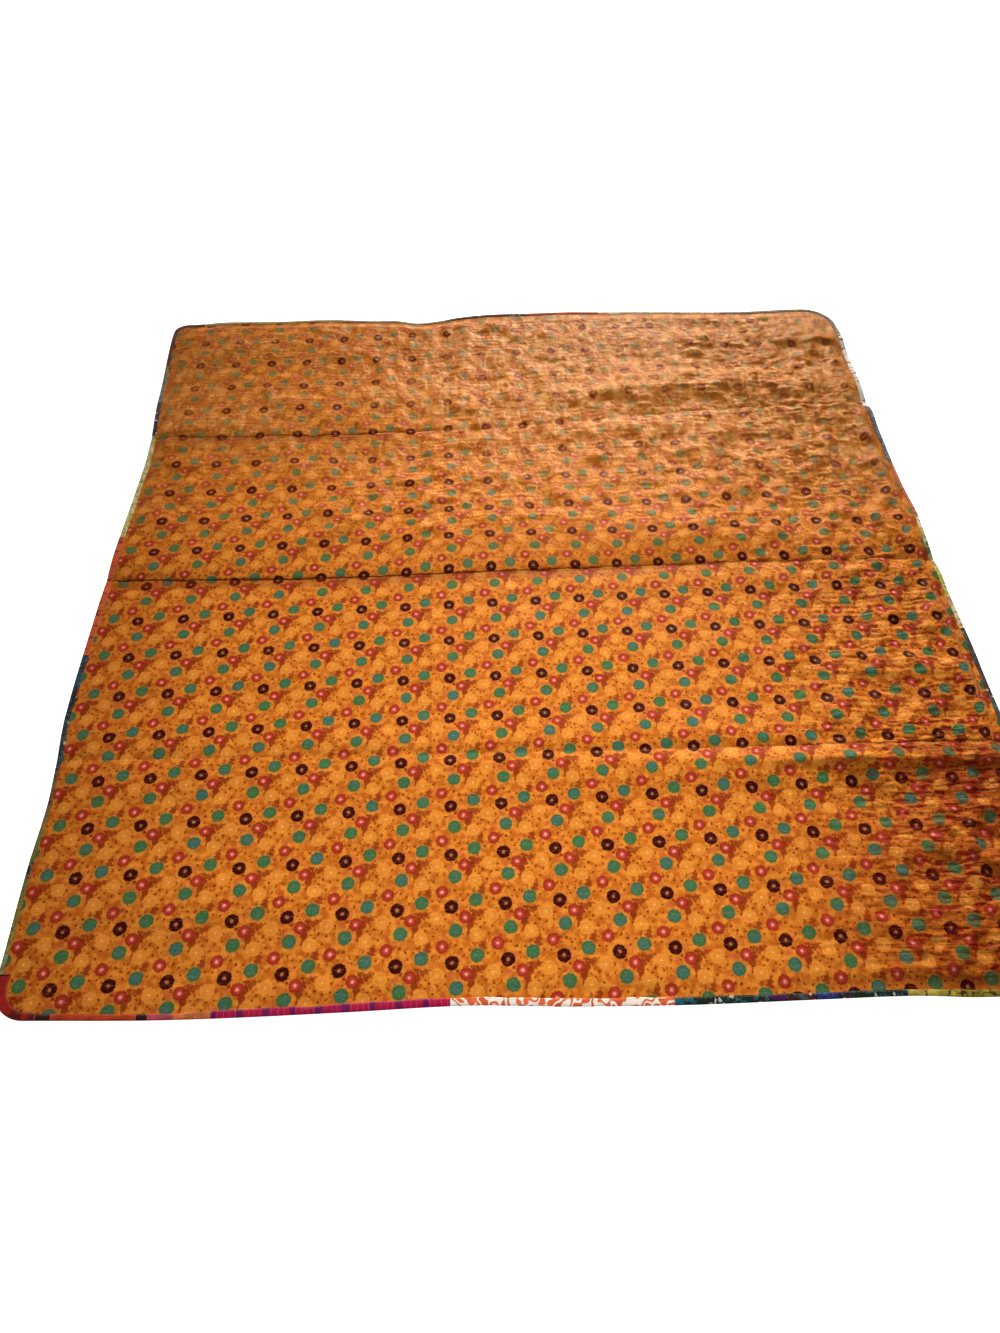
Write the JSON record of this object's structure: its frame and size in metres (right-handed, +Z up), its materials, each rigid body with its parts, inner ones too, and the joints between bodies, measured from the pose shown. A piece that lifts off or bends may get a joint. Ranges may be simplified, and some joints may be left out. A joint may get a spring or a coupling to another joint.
{
  "type": "quilted throw",
  "caption": "Quilted cotton throw lying open on a floor, nearly square with rounded corners, soft quarter-fold creases and a patchwork edge turned over to the front.",
  "frame": {"origin": "middle of the throw's box at floor level", "axes": "+X along the near edge to the right, +Y from the near edge to the far edge, +Z up from the floor"},
  "size_m": [1.73, 1.7636, 0.0231],
  "materials": {
    "face_print": "block-printed cotton, quilted, matte with a faint sheen",
    "vermilion_cotton": "plain woven cotton, matte",
    "rose_cotton": "plain woven cotton, matte",
    "magenta_stripe": "cross-striped cotton, soft sheen",
    "scroll_print": "printed cotton with pale scrolls, matte",
    "dark_print": "dark speckled print on cotton, matte",
    "olive_print": "printed cotton with thin dark lines, matte",
    "lime_print": "pale printed cotton, matte",
    "slate_cotton": "woven cotton, matte",
    "chalk_print": "pale cotton with brown dashes, matte",
    "maroon_cotton": "dark printed cotton, matte"
  },
  "bodies": {
    "root": {"quilt": "face_print", "edge_vermilion": "vermilion_cotton", "edge_rose": "rose_cotton", "edge_magenta": "magenta_stripe", "edge_scroll": "scroll_print", "edge_teal": "dark_print", "edge_olive": "olive_print", "edge_forest": "dark_print", "edge_lime": "lime_print", "edge_salmon": "rose_cotton", "edge_slate": "slate_cotton", "edge_chalk": "chalk_print", "edge_dusk": "slate_cotton", "edge_cream": "lime_print", "edge_red": "vermilion_cotton", "edge_brown": "maroon_cotton", "edge_sage": "slate_cotton", "edge_khaki": "lime_print", "edge_wine": "maroon_cotton", "edge_grey": "slate_cotton", "edge_mulberry": "maroon_cotton", "edge_straw": "lime_print", "edge_orange": "vermilion_cotton", "edge_navy": "dark_print", "edge_moss": "olive_print", "edge_maroon": "maroon_cotton"}
  },
  "joints": []
}
